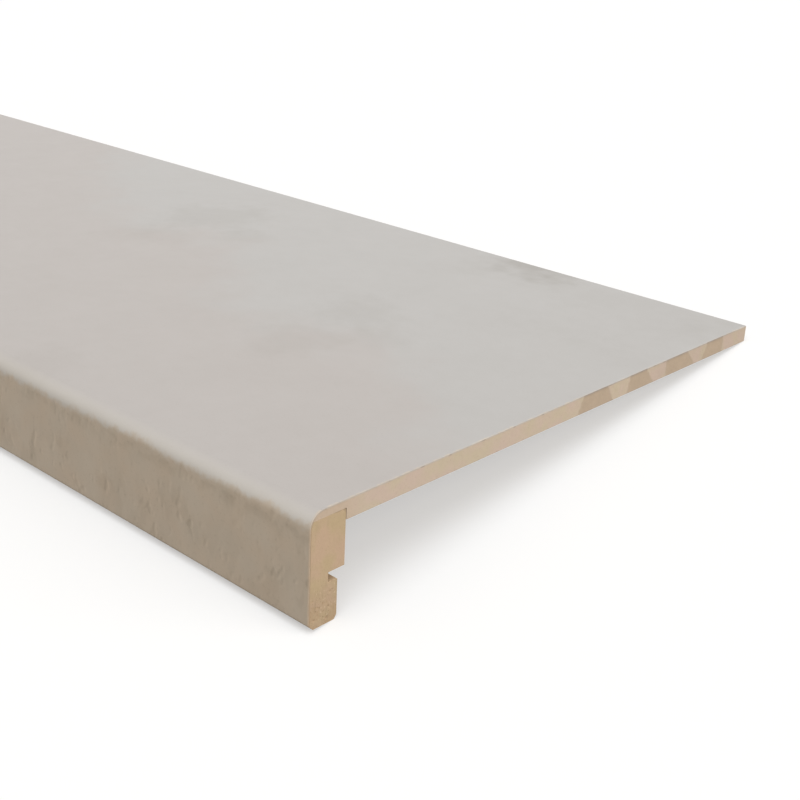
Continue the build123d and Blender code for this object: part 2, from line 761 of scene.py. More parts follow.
class Graph:
    """Short ways to add and wire shader nodes in one tree."""

    def __init__(self, tree: bpy.types.NodeTree) -> None:
        """Take the tree that the nodes go into."""
        self.tree = tree

    def feed(self, socket: Socket, value: Value) -> None:
        """Link a socket to the value if that is a socket too, and set it otherwise.

        Args:
            socket: The socket that gets the value.
            value: A socket or a constant.
        """
        if isinstance(value, bpy.types.NodeSocket):
            self.tree.links.new(value, socket)
        else:
            socket.default_value = value

    def node(self, kind: str, inputs: Inputs | None = None, **settings: object) -> bpy.types.Node:
        """Add a node.

        Args:
            kind: The node's type name.
            inputs: Values or sockets for its inputs, by name or number.
            **settings: Values for its own properties.

        Returns:
            The new node.
        """
        node = self.tree.nodes.new(kind)
        for name, value in settings.items():
            setattr(node, name, value)
        for key, value in (inputs or {}).items():
            self.feed(node.inputs[key], value)
        return node

    def math(self, operation: str, *values: Value) -> Socket:
        """Add a Math node and give its result."""
        return self.node("ShaderNodeMath", dict(enumerate(values)), operation=operation).outputs[0]

    def times(self, first: Value, second: Value) -> Socket:
        """Multiply two values."""
        return self.math("MULTIPLY", first, second)

    def add_times(self, base: Value, value: Value, factor: Value) -> Socket:
        """Add a value times a factor to a base."""
        return self.math("MULTIPLY_ADD", value, factor, base)

    def smooth(self, value: Value, low: float, high: float) -> Socket:
        """Give the smooth step of a value: 0 up to low, 1 from high on."""
        inputs = {"Value": value, "From Min": low, "From Max": high}
        return self.node("ShaderNodeMapRange", inputs, interpolation_type="SMOOTHSTEP").outputs[0]

    def mix(self, share: Value, first: Value, second: Value, blend: str = "MIX") -> Socket:
        """Mix two colours and give the result."""
        inputs = {0: share, 6: first, 7: second}
        return self.node("ShaderNodeMix", inputs, data_type="RGBA", blend_type=blend).outputs[2]

    def shaded(self, colour: Value, red: Value, green: Value, blue: Value) -> Socket:
        """Multiply a colour by a factor for each of its parts."""
        factors = self.node("ShaderNodeCombineColor", {0: red, 1: green, 2: blue}).outputs[0]
        return self.mix(1.0, colour, factors, blend="MULTIPLY")

    def vector(self, x: Value, y: Value = 0.0, z: Value = 0.0) -> Socket:
        """Make a vector of three values."""
        return self.node("ShaderNodeCombineXYZ", {0: x, 1: y, 2: z}).outputs[0]

    def vector_math(self, operation: str, first: Value, second: Value) -> bpy.types.Node:
        """Add a Vector Math node."""
        return self.node("ShaderNodeVectorMath", {0: first, 1: second}, operation=operation)

    def noise(self, vector: Value, scale: Value, detail: float = 2.0, roughness: float = 0.5) -> Socket:
        """Add a Noise texture and give its value, 0.5 on average."""
        inputs = {"Vector": vector, "Scale": scale, "Detail": detail, "Roughness": roughness}
        return self.node("ShaderNodeTexNoise", inputs).outputs[0]

    def tone(self, noise: Value) -> Socket:
        """Spread a noise value about its mean, to about -1 to 1."""
        return self.times(self.math("SUBTRACT", noise, NOISE_MEAN), TONE_GAIN)

    def group(self, name: GroupName, inputs: Inputs) -> bpy.types.Node:
        """Place a shared group with its own input values. Its tree is made the first time."""
        tree = bpy.data.node_groups.get(name.value) or SHARED_GROUPS[name]()
        return self.node("ShaderNodeGroup", inputs, node_tree=tree)

    def bump(self, strength: float, distance: float, height: Socket) -> Socket:
        """Add a Bump node and give its normal."""
        inputs = {"Strength": strength, "Distance": distance, "Height": height}
        return self.node("ShaderNodeBump", inputs).outputs[0]

    def fibres(self, vector: Value, scale: float, stretch: Triple) -> bpy.types.NodeOutputs:
        """Place the group of fibre grain and give its outputs."""
        inputs = {"Vector": vector, "Scale": scale, "Stretch": stretch}
        return self.group(GroupName.FIBRES, inputs).outputs

    def clouds(self, vector: Value, scale: float) -> Socket:
        """Place the group of soft clouds and give its tone."""
        return self.group(GroupName.CLOUDS, {"Vector": vector, "Scale": scale}).outputs["Tone"]

    def specks(self, vector: Value, scale: float, threshold: float) -> Socket:
        """Place the group of fine specks and give its mask."""
        inputs = {"Vector": vector, "Scale": scale, "Threshold": threshold}
        return self.group(GroupName.SPECKS, inputs).outputs["Mask"]


def new_group(
    name: GroupName,
    inputs: dict[str, tuple[str, float | None]],
    outputs: list[str],
) -> tuple[Graph, bpy.types.NodeOutputs]:
    """Start a shader group with named sockets.

    Args:
        name: The group's name.
        inputs: For each input its socket type and its default, or None where it has none.
        outputs: Names of the value outputs.

    Returns:
        The group's graph, and the sockets that bring its inputs.
    """
    tree = bpy.data.node_groups.new(name.value, "ShaderNodeTree")
    for label, (kind, default) in inputs.items():
        socket = tree.interface.new_socket(name=label, in_out="INPUT", socket_type=kind)
        if default is not None:
            socket.default_value = default
    for label in outputs:
        tree.interface.new_socket(name=label, in_out="OUTPUT", socket_type="NodeSocketFloat")
    graph = Graph(tree)
    return graph, graph.node("NodeGroupInput").outputs


def soft_clouds() -> bpy.types.NodeTree:
    """Make the group of soft clouds: a slow noise less its mean, as a tone of about -1 to 1.

    Returns:
        The group's tree.
    """
    inputs = {"Vector": ("NodeSocketVector", None), "Scale": ("NodeSocketFloat", 10.0)}
    graph, source = new_group(GroupName.CLOUDS, inputs, ["Tone"])
    value = graph.noise(source["Vector"], source["Scale"], detail=3.0, roughness=0.45)
    graph.node("NodeGroupOutput", {"Tone": graph.tone(value)})
    return graph.tree


def fine_specks() -> bpy.types.NodeTree:
    """Make the group of fine specks: the peaks of a fine noise over a threshold, as a mask.

    Returns:
        The group's tree.
    """
    soft_side = 0.08
    inputs = {
        "Vector": ("NodeSocketVector", None),
        "Scale": ("NodeSocketFloat", 500.0),
        "Threshold": ("NodeSocketFloat", 0.62),
    }
    graph, source = new_group(GroupName.SPECKS, inputs, ["Mask"])
    value = graph.noise(source["Vector"], source["Scale"], detail=1.0, roughness=0.6)
    over = graph.math("SUBTRACT", value, source["Threshold"])
    graph.node("NodeGroupOutput", {"Mask": graph.smooth(over, 0.0, soft_side)})
    return graph.tree


def fibre_grain() -> bpy.types.NodeTree:
    """Make the group of fibre grain: fine and finer noise on stretched coordinates, and its tone.

    Returns:
        The group's tree.
    """
    finer_by = 3.1
    coarse_share = 0.55
    inputs = {
        "Vector": ("NodeSocketVector", None),
        "Scale": ("NodeSocketFloat", 700.0),
        "Stretch": ("NodeSocketVector", None),
    }
    graph, source = new_group(GroupName.FIBRES, inputs, ["Tone", "Height"])
    stretched = graph.vector_math("MULTIPLY", source["Vector"], source["Stretch"]).outputs[0]
    coarse = graph.noise(stretched, source["Scale"], roughness=0.6)
    finer = graph.noise(stretched, graph.times(source["Scale"], finer_by), roughness=0.6)
    height = graph.add_times(graph.times(coarse, coarse_share), finer, 1 - coarse_share)
    graph.node("NodeGroupOutput", {"Tone": graph.tone(height), "Height": height})
    return graph.tree


@dataclass(frozen=True)
class SawPatch:
    """A darker patch on the board's sawn end: the run of its start and end, at the top and foot, in mm."""

    start_top: float
    end_top: float
    start_foot: float
    end_foot: float


SAW_PATCHES = (
    SawPatch(191.5, 213, 187.5, 219),
    SawPatch(234.5, 250.5, 232.5, 258.5),
    SawPatch(270.5, 293, 271, 301.5),
    SawPatch(314.5, 332.5, 310.5, 332.5),
)


def saw_patches() -> bpy.types.NodeTree:
    """Make the group of the darker patches on the board's sawn end, as a mask with ragged sides.

    A patch lies between two slanting lines. Each line's run goes straight from its place at the foot to its
    place at the top with the rise, which is 0 at the underside and 1 under the sheet.

    Returns:
        The group's tree.
    """
    ragged_scale, ragged_reach = 400.0, 3 * MM
    side_start, side_end = 0.5 * MM, 2.5 * MM
    inputs = {"Run": ("NodeSocketFloat", 0.0), "Rise": ("NodeSocketFloat", 0.0)}
    graph, source = new_group(GroupName.PATCHES, inputs, ["Mask"])
    spot = graph.vector(source["Run"], graph.times(source["Rise"], TreadSection().board))
    run = graph.add_times(source["Run"], graph.noise(spot, ragged_scale), ragged_reach)
    mask: Value = 0.0
    for patch in SAW_PATCHES:
        start_slant = (patch.start_top - patch.start_foot) * MM
        end_slant = (patch.end_top - patch.end_foot) * MM
        start = graph.add_times(patch.start_foot * MM, source["Rise"], start_slant)
        end = graph.add_times(patch.end_foot * MM, source["Rise"], end_slant)
        after = graph.smooth(graph.math("SUBTRACT", run, start), side_start, side_end)
        before = graph.smooth(graph.math("SUBTRACT", end, run), -side_end, -side_start)
        mask = graph.add_times(mask, after, before)
    graph.node("NodeGroupOutput", {"Mask": mask})
    return graph.tree


SHARED_GROUPS = {
    GroupName.CLOUDS: soft_clouds,
    GroupName.SPECKS: fine_specks,
    GroupName.FIBRES: fibre_grain,
    GroupName.PATCHES: saw_patches,
}


def new_material(name: str) -> tuple[bpy.types.Material, Graph, bpy.types.Node]:
    """Start a material with a Principled shader.

    Args:
        name: The material's name.

    Returns:
        The material, its graph and its shader node.
    """
    material = bpy.data.materials.new(name)
    material.use_nodes = True
    return material, Graph(material.node_tree), material.node_tree.nodes["Principled BSDF"]


@dataclass(frozen=True)
class Clouds:
    """Soft clouds of a finish: their scale, in cells per metre, and how far they move a value."""

    scale: float
    depth: float

    def add(self, graph: Graph, vector: Value, base: Value) -> Socket:
        """Give the base plus the clouds' tone times their depth."""
        return graph.add_times(base, graph.clouds(vector, self.scale), self.depth)


@dataclass(frozen=True)
class Marks:
    """Marks of a finish: they come where a noise of this scale, in cells per metre, rises from low to high.

    The depth is what they add to a brightness, below 0 where they darken, or the share of a colour that
    they mix in.
    """

    scale: float
    low: float
    high: float
    depth: float = 1.0
    detail: float = 2.0
    roughness: float = 0.5

    def mask(self, graph: Graph, vector: Value) -> Socket:
        """Give the smooth step of the noise."""
        value = graph.noise(vector, self.scale, detail=self.detail, roughness=self.roughness)
        return graph.smooth(value, self.low, self.high)


@dataclass(frozen=True)
class Smudge:
    """A soft darker spot of the print: place along the tread, way over it and radius in mm, and depth."""

    along: float
    way: float
    radius: float
    depth: float


@dataclass(frozen=True)
class SheetPlace:
    """Where a material is on the sheet, as sockets of its graph, with the mask of the pores."""

    graph: Graph
    sheet: Socket
    along: Socket
    way: Socket
    pores: Socket


@dataclass(frozen=True)
class ConcreteDecor:
    """Finish of the decor sheet: a pale concrete print, brown from the nose down, and its cut edge.

    The front's brown is partly the print and partly painted warm shade. Depths are shares of the brightness.
    Places on the way over the sheet count from the back edge.
    """

    name: str = "concrete_decor"
    section: TreadSection = TreadSection()

    # Colours: the top's two tones and its painted highlight band, the front's two, and the cut edge's
    pale: Colour = srgb(190, 188, 186)
    warm: Colour = srgb(189, 184, 181)
    highlight_cream: Colour = srgb(199, 193, 185)
    # The front's two colours are browner partly by the print and partly as painted warm shade
    front: Colour = srgb(200, 187, 170)
    front_blush: Colour = srgb(202, 186, 167)
    core: Colour = srgb(195, 185, 174)
    front_core: Colour = srgb(176, 154, 131)
    cream: Colour = srgb(207, 195, 180)
    front_chafe: Colour = srgb(219, 197, 171)
    dark_line: Colour = srgb(139, 124, 113)

    # Shine and fine relief
    gloss: float = 0.2
    roughness: float = 0.52
    dull_clouds: Clouds = Clouds(48.0, 0.04)
    relief_scale: float = 900.0
    relief_strength: float = 0.25
    relief_distance: float = 0.05 * MM
    pore_scale: float = 620.0
    pore_threshold: float = 0.6
    pore_relief: float = -0.4

    # The brown starts between two places on the way, and clouds and the nearness of the right end move it
    nose_start: float = 361.9 * MM
    nose_end: float = 367 * MM
    nose_clouds: tuple[Clouds, ...] = (
        Clouds(48.0, 2 * MM),
        Clouds(190.0, 1.7 * MM),
        Clouds(460.0, 0.7 * MM),
    )
    nose_rise: float = 2 * MM
    rise_from: float = 250 * MM
    rise_to: float = 10 * MM
    # Painted highlight over the nose's rounding, which offsets the shade that falls there
    nose_highlight: float = 0.16
    highlight_band: Pair = (352.2 * MM, 361.4 * MM)

    # Where it is darker, it is also warmer: powers of the brightness for green and blue
    green_power: float = 1.08
    blue_power: float = 1.22

    # The top's line between its two tones
    sweep_slope: float = 0.33
    sweep_start: float = 95 * MM
    sweep_wave: float = 24 * MM
    sweep_period: float = 226 * MM
    sweep_turn: float = -40 * MM
    sweep_drop: float = 0.6
    sweep_width: float = 40 * MM
    sweep_fray: Clouds = Clouds(26.0, 26 * MM)

    # The top's brightness
    patches: Clouds = Clouds(24.0, 0.013)
    mottle: Clouds = Clouds(90.0, 0.011)
    top_pores: float = -0.02
    smudge_bend: float = 0.35
    smudge_fray: float = 0.2
    smudge_range: Pair = (1.15, 0.25)
    smudges: tuple[Smudge, ...] = (
        Smudge(110, 84, 46, 0.055),
        Smudge(162, 108, 24, 0.035),
        Smudge(134, 150, 28, 0.025),
        Smudge(112, 178, 30, 0.018),
        Smudge(338, 162, 34, 0.05),
        Smudge(372, 186, 26, 0.02),
        Smudge(346, 226, 32, 0.04),
        Smudge(348, 0, 36, 0.15),
        Smudge(335, 4, 52, 0.03),
        Smudge(280, 345, 30, 0.03),
        Smudge(450, 20, 90, 0.02),
        Smudge(499, 8, 40, 0.03),
        Smudge(-150, 236, 44, 0.04),
        Smudge(-106, 268, 26, 0.025),
        Smudge(-385, 148, 26, 0.025),
        Smudge(-428, 104, 46, 0.04),
        Smudge(-392, 300, 34, 0.025),
    )

    # The front's brightness, from its upright marks
    front_level: float = 1.03
    front_clouds: Clouds = Clouds(27.0, 0.014)
    lean: float = 0.2
    stretch: Triple = (1.0, 2.0, 1.0)
    smears: Clouds = Clouds(62.0, 0.028)
    slivers: Marks = Marks(190.0, 0.55, 0.68, -1.5, detail=1.5)
    sliver_shift: Triple = (-1.5 * MM, 0.0, 0.0)
    blotches: Marks = Marks(105.0, 0.52, 0.68, -0.9, detail=3.0, roughness=0.6)
    gather: Marks = Marks(45.0, 0.43, 0.56, 0.06, detail=3.0)
    gather_below: float = 0.035
    lower_band: Pair = (8 * MM, 26 * MM)
    streaks: Marks = Marks(52.0, 0.48, 0.58, -0.05, detail=3.0, roughness=0.55)
    stains: Marks = Marks(110.0, 0.42, 0.58, -0.09, detail=3.0)
    stain_rise: float = 2 * MM
    stain_drop: float = 7 * MM
    fine_scale: float = 260.0
    fine_stretch: Triple = (1.0, 0.3, 1.0)
    fine_depth: float = 0.018
    front_pores: float = -0.05
    blush_scale: float = 60.0
    blush_range: Pair = (-0.9, 1.1)

    # The line of the face next to the sawn ends, and the cut edge
    chafe_reach: Pair = (1.3 * MM, 0.3 * MM)
    chafe_scale: float = 75.0
    chafe_range: Pair = (0.3, 0.55)
    chafe_dots: Marks = Marks(260.0, 0.38, 0.6, 0.75, detail=1.0)
    chafe_back: float = -0.5
    chafe_front: float = 0.6
    ticks: Marks = Marks(170.0, 0.56, 0.7, 0.6, detail=1.0)
    tick_start: Pair = (0.15, 0.45)
    tick_end: Pair = (1.05, 0.7)
    cut_start: Pair = (0.05, 0.3)
    line_side: Pair = (0.02, 0.15)
    line_start: Pair = (180 * MM, 196 * MM)
    line_end: Pair = (352 * MM, 338 * MM)
    line_depth: float = 0.25
    patch_line: float = 0.05
    patch_line_noise: float = 0.6

    def make(self) -> bpy.types.Material:
        """Build the material.

        Returns:
            The material.
        """
        material, graph, shader = new_material(self.name)
        sheet = graph.node("ShaderNodeUVMap", uv_map=MapName.SHEET.value).outputs[0]
        parts = graph.node("ShaderNodeSeparateXYZ", {0: sheet}).outputs
        along, way = parts["X"], parts["Y"]
        nose_way = way
        for clouds in self.nose_clouds:
            nose_way = clouds.add(graph, sheet, nose_way)
        to_right = graph.smooth(along, HALF_LENGTH - self.rise_from, HALF_LENGTH - self.rise_to)
        nose_way = graph.add_times(nose_way, to_right, self.nose_rise)
        on_front = graph.smooth(nose_way, self.nose_start, self.nose_end)
        above_nose = graph.smooth(nose_way, self.nose_end, self.nose_start)
        in_highlight = graph.smooth(way, *self.highlight_band)

        pores = graph.specks(sheet, self.pore_scale, self.pore_threshold)
        place = SheetPlace(graph, sheet, along, way, pores)
        shades = {0: on_front, 2: self.top_shade(place), 3: self.front_shade(place)}
        shade = graph.node("ShaderNodeMix", shades).outputs[0]
        # Painted highlight on the nose's rounding, just above the brown
        shade = graph.add_times(shade, graph.times(in_highlight, above_nose), self.nose_highlight)
        blush = graph.smooth(graph.clouds(sheet, self.blush_scale), *self.blush_range)
        front = graph.mix(blush, self.front, self.front_blush)
        # The painted highlight band also turns the top cream
        top = graph.mix(in_highlight, self.top_colour(place), self.highlight_cream)
        green = graph.math("POWER", shade, self.green_power)
        blue = graph.math("POWER", shade, self.blue_power)
        colour = graph.shaded(graph.mix(on_front, top, front), shade, green, blue)
        graph.feed(shader.inputs["Base Color"], self.cut_colour(place, colour))

        graph.feed(shader.inputs["Roughness"], self.dull_clouds.add(graph, sheet, self.roughness))
        shader.inputs["Specular IOR Level"].default_value = self.gloss
        height = graph.fibres(sheet, self.relief_scale, (1.0, 1.0, 1.0))["Height"]
        height = graph.add_times(height, pores, self.pore_relief)
        graph.feed(shader.inputs["Normal"], graph.bump(self.relief_strength, self.relief_distance, height))
        return material

    def top_colour(self, place: SheetPlace) -> Socket:
        """Mix the top's two tones: paler behind a slanting wavy line across the sheet, which clouds fray.

        The line lies at start + slope * along + wave * sin(2 pi * along / period) on the way over the sheet.
        Left of its turn it has no wave and falls steeper, by drop for each length beyond the turn.

        Args:
            place: Where it is on the sheet.

        Returns:
            The colour.
        """
        graph, sheet, along, way = place.graph, place.sheet, place.along, place.way
        swing = graph.math("SINE", graph.times(along, 2 * math.pi / self.sweep_period))
        swing = graph.times(swing, graph.smooth(along, self.sweep_turn, -self.sweep_turn))
        line = graph.add_times(self.sweep_start, along, self.sweep_slope)
        line = graph.add_times(line, swing, self.sweep_wave)
        beyond_turn = graph.math("MINIMUM", graph.math("SUBTRACT", along, self.sweep_turn), 0.0)
        line = graph.add_times(line, beyond_turn, self.sweep_drop)
        beyond = self.sweep_fray.add(graph, sheet, graph.math("SUBTRACT", way, line))
        share = graph.smooth(beyond, -self.sweep_width, self.sweep_width)
        return graph.mix(share, self.pale, self.warm)

    def top_shade(self, place: SheetPlace) -> Socket:
        """Give the top's brightness: clouds of two sizes, smudges and pores.

        A smudge takes off its depth times what is left of 1 after the distance over its radius, smoothed. The
        distance is bent by clouds, so that its outline frays.

        Args:
            place: Where it is on the sheet.

        Returns:
            The factor for the colour.
        """
        graph, sheet, pores = place.graph, place.sheet, place.pores
        patches = graph.clouds(sheet, self.patches.scale)
        mottle = graph.clouds(sheet, self.mottle.scale)
        shade = graph.add_times(1.0, patches, self.patches.depth)
        shade = graph.add_times(shade, mottle, self.mottle.depth)
        shade = graph.add_times(shade, pores, self.top_pores)
        for smudge in self.smudges:
            middle = (smudge.along * MM, smudge.way * MM, 0.0)
            away = graph.vector_math("DISTANCE", sheet, middle).outputs["Value"]
            share = graph.math("DIVIDE", away, smudge.radius * MM)
            share = graph.add_times(share, patches, self.smudge_bend)
            share = graph.add_times(share, mottle, self.smudge_fray)
            shade = graph.add_times(shade, graph.smooth(share, *self.smudge_range), -smudge.depth)
        return shade

    def front_shade(self, place: SheetPlace) -> Socket:
        """Give the front's brightness: smears, gathered slivers, low streaks, and stains by the nose.

        A sliver is a narrow dark mark with a lighter one to its right, like a scratch in plaster: the same
        marks are read twice, a little way apart, and the second reading lightens. The streaks are broad and
        dark, and lie in the front's lower half. Smears, slivers and streaks stand upright and lean a little.

        Args:
            place: Where it is on the sheet.

        Returns:
            The factor for the colour.
        """
        graph, sheet, way, pores = place.graph, place.sheet, place.way, place.pores
        turn = {0: sheet, "Rotation": (0.0, 0.0, self.lean), "Scale": self.stretch}
        upright = graph.node("ShaderNodeMapping", turn, vector_type="TEXTURE").outputs[0]
        aside = graph.vector_math("ADD", upright, self.sliver_shift).outputs[0]
        shade = self.front_clouds.add(graph, sheet, self.front_level)
        shade = self.smears.add(graph, upright, shade)

        lower = graph.smooth(way, *(self.nose_end + drop for drop in self.lower_band))
        lights = self.slivers.mask(graph, aside)
        slivers = graph.add_times(lights, self.slivers.mask(graph, upright), self.slivers.depth)
        slivers = graph.add_times(slivers, self.blotches.mask(graph, upright), self.blotches.depth)
        depth = graph.add_times(self.gather.depth, lower, self.gather_below)
        shade = graph.add_times(shade, slivers, graph.times(self.gather.mask(graph, sheet), depth))
        streaks = graph.times(self.streaks.mask(graph, upright), lower)
        shade = graph.add_times(shade, streaks, self.streaks.depth)

        from_nose = graph.smooth(way, self.nose_end - self.stain_rise, self.nose_end)
        near_nose = graph.smooth(way, self.nose_end + self.stain_drop, self.nose_end)
        stains = graph.times(graph.times(from_nose, near_nose), self.stains.mask(graph, sheet))
        shade = graph.add_times(shade, stains, self.stains.depth)
        fine = graph.fibres(sheet, self.fine_scale, self.fine_stretch)["Tone"]
        shade = graph.add_times(shade, fine, self.fine_depth)
        return graph.add_times(shade, pores, self.front_pores)

    def cut_colour(self, place: SheetPlace, face: Socket) -> Socket:
        """Colour the sheet's cut edge, and the line of its face next to the sawn ends.

        The cut shows the core's colour, which is greyer on the top than on the front. On the top it has
        short dark ticks, and a dark line over the end's back half that is strongest above the board's
        patches. Along the saw's edge the face is chafed: to cream in dots on the top, and lighter all
        the way down the front.

        Args:
            place: Where it is on the sheet.
            face: Colour of the face.

        Returns:
            The colour.
        """
        graph, along, way = place.graph, place.along, place.way
        on_way = graph.vector(way)
        on_top = graph.smooth(way, self.nose_end, self.highlight_band[0])
        run = graph.math("SUBTRACT", self.section.depth, way)
        back_half = graph.times(graph.smooth(run, *self.line_start), graph.smooth(run, *self.line_end))

        near_end = graph.smooth(
            graph.math("ABSOLUTE", along), *(HALF_LENGTH - reach for reach in self.chafe_reach)
        )
        comes = graph.noise(on_way, self.chafe_scale)
        dots = graph.times(graph.smooth(comes, *self.chafe_range), self.chafe_dots.mask(graph, on_way))
        dots = graph.times(dots, graph.add_times(1.0, back_half, self.chafe_back))
        all_along = graph.add_times(self.chafe_front, on_top, -self.chafe_front)
        chafed = graph.times(graph.math("MAXIMUM", dots, all_along), self.chafe_dots.depth)
        chafe_colour = graph.mix(on_top, self.front_chafe, self.cream)
        colour = graph.mix(graph.times(near_end, chafed), face, chafe_colour)

        layer = graph.node("ShaderNodeAttribute", attribute_name=MapName.LAYER.value).outputs["Fac"]
        middle = graph.times(graph.smooth(layer, *self.tick_start), graph.smooth(layer, *self.tick_end))
        ticks = self.ticks.mask(graph, graph.vector(0.0, way))
        ticks = graph.times(ticks, graph.times(on_top, self.ticks.depth))
        core = graph.mix(on_top, self.front_core, self.core)
        cut = graph.mix(graph.times(ticks, middle), core, self.dark_line)
        colour = graph.mix(graph.smooth(layer, *self.cut_start), colour, cut)

        patch = graph.group(GroupName.PATCHES, {"Run": run, "Rise": 1.0}).outputs["Mask"]
        over_patch = graph.add_times(self.patch_line, comes, self.patch_line_noise)
        line = graph.add_times(self.line_depth, patch, over_patch)
        line = graph.times(line, graph.times(back_half, graph.smooth(layer, *self.line_side)))
        return graph.mix(line, colour, self.dark_line)


@dataclass(frozen=True)
class BoardPlace:
    """Where a material is on a board, as sockets of its graph.

    The spot is the place along the tread, the run and the height together. Sawn is 1 where it is sawn.
    """

    graph: Graph
    spot: Socket
    run: Socket
    height: Socket
    sawn: Socket


@dataclass(frozen=True)
class RawFibreboard:
    """Finish of bare fibreboard: fine fibres and specks, one colour on its faces and two where it is sawn."""

    name: str
    face: Colour
    sawn: Colour
    pink: Colour
    speck: Colour
    section: TreadSection = TreadSection()
    grain_scale: float = 620.0
    grain_stretch: Triple = (0.35, 1.0, 1.0)
    fibre_depth: float = 0.035
    blush_scale: float = 70.0
    blush_range: Pair = (-0.5, 0.6)
    speck_scale: float = 900.0
    speck_threshold: float = 0.63
    speck_depth: float = 0.15
    speck_relief: float = -0.5
    roughness: float = 0.78
    sawn_roughness: float = 0.12
    gloss: float = 0.25
    relief_strength: float = 0.4
    relief_distance: float = 0.1 * MM

    def make(self) -> bpy.types.Material:
        """Build the material.

        Returns:
            The material.
        """
        material, graph, shader = new_material(self.name)
        section = graph.node("ShaderNodeUVMap", uv_map=MapName.SECTION.value).outputs[0]
        parts = graph.node("ShaderNodeSeparateXYZ", {0: section}).outputs
        run, height = parts["X"], parts["Y"]
        here = graph.node("ShaderNodeTexCoord").outputs["Object"]
        along = graph.node("ShaderNodeSeparateXYZ", {0: here}).outputs["X"]
        spot = graph.vector(along, run, height)
        sawn = graph.node("ShaderNodeAttribute", attribute_name=MapName.SAWN.value).outputs["Fac"]

        felt = graph.fibres(spot, self.grain_scale, self.grain_stretch)
        specks = graph.specks(spot, self.speck_scale, self.speck_threshold)
        blush = graph.smooth(graph.clouds(spot, self.blush_scale), *self.blush_range)
        place = BoardPlace(graph, spot, run, height, sawn)
        sawn_colour = self.own_colour(place, graph.mix(blush, self.sawn, self.pink))
        shade = graph.add_times(1.0, felt["Tone"], self.fibre_depth)
        shade = graph.times(shade, self.marks(place))
        colour = graph.shaded(graph.mix(sawn, self.face, sawn_colour), shade, shade, shade)
        speck_share = graph.times(specks, self.speck_share(place))
        graph.feed(shader.inputs["Base Color"], graph.mix(speck_share, colour, self.speck))

        graph.feed(shader.inputs["Roughness"], graph.add_times(self.roughness, sawn, self.sawn_roughness))
        shader.inputs["Specular IOR Level"].default_value = self.gloss
        relief = graph.add_times(felt["Height"], specks, self.speck_relief)
        graph.feed(shader.inputs["Normal"], graph.bump(self.relief_strength, self.relief_distance, relief))
        return material

    def own_colour(self, place: BoardPlace, colour: Socket) -> Socket:
        """Give the sawn colour where it differs over the piece."""
        raise NotImplementedError

    def marks(self, place: BoardPlace) -> Socket:
        """Give a factor that darkens this piece's own marks."""
        raise NotImplementedError

    def speck_share(self, place: BoardPlace) -> Value:
        """Give how strongly the specks show."""
        return self.speck_depth


@dataclass(frozen=True)
class BoardFinish(RawFibreboard):
    """Finish of the tread board: its sawn end has the nose block's tan at the tongue, and darker patches."""

    nose_colour: Colour = srgb(198, 179, 160)
    nose_reach: Pair = (14 * MM, 34 * MM)
    patch: Colour = srgb(187, 169, 149)
    rim_depth: float = -0.16
    under_sheet: float = 1.4 * MM
    under_sheet_share: float = 0.5
    patch_clouds: Clouds = Clouds(150.0, 0.25)
    back_start: Pair = (250 * MM, 264 * MM)
    back_depth: float = -0.05
    worn_edge: float = 1.1 * MM
    worn: Marks = Marks(300.0, 0.45, 0.65, -0.1)

    def own_colour(self, place: BoardPlace, colour: Socket) -> Socket:
        """Blend the tongue's colour into the nose block's, and lay the patches over the rest.

        Args:
            place: Where it is on the board.
            colour: The sawn colour.

        Returns:
            The colour.
        """
        behind = place.graph.smooth(place.run, *self.nose_reach)
        colour = place.graph.mix(behind, self.nose_colour, colour)
        return place.graph.mix(self.patch_mask(place), colour, self.patch)

    def patch_mask(self, place: BoardPlace) -> Socket:
        """Give the mask of the darker patches.

        Args:
            place: Where it is on the board.

        Returns:
            The mask.
        """
        low, high = self.section.underside, self.section.core_height
        inputs = {"Value": place.height, "From Min": low, "From Max": high}
        rise = place.graph.node("ShaderNodeMapRange", inputs).outputs[0]
        return place.graph.group(GroupName.PATCHES, {"Run": place.run, "Rise": rise}).outputs["Mask"]

    def marks(self, place: BoardPlace) -> Socket:
        """Darken the patches' rims, the end's back part, and in places the board's lower edge.

        A rim is where the patch's mask times what it lacks of 1 is large. The patches also darken just under
        the sheet and by clouds. The back part darkens between the patches. All of this is on sawn faces only,
        while the lower edge is worn all round.

        Args:
            place: Where it is on the board.

        Returns:
            The factor for the colour.
        """
        graph, spot, run, height, sawn = place.graph, place.spot, place.run, place.height, place.sawn
        top, foot = self.section.core_height, self.section.underside
        mask = self.patch_mask(place)
        outside = graph.math("SUBTRACT", 1.0, mask)
        rim = graph.times(mask, outside)
        under = graph.times(mask, graph.smooth(height, top - self.under_sheet, top))
        rim = graph.add_times(rim, under, self.under_sheet_share)
        cloud = graph.times(graph.clouds(spot, self.patch_clouds.scale), mask)
        rim = graph.add_times(rim, cloud, self.patch_clouds.depth)
        factor = graph.add_times(1.0, graph.times(rim, sawn), self.rim_depth)
        back = graph.times(graph.smooth(run, *self.back_start), outside)
        factor = graph.add_times(factor, graph.times(back, sawn), self.back_depth)
        worn = graph.smooth(height, foot + self.worn_edge, foot)
        return graph.add_times(factor, graph.times(worn, self.worn.mask(graph, spot)), self.worn.depth)


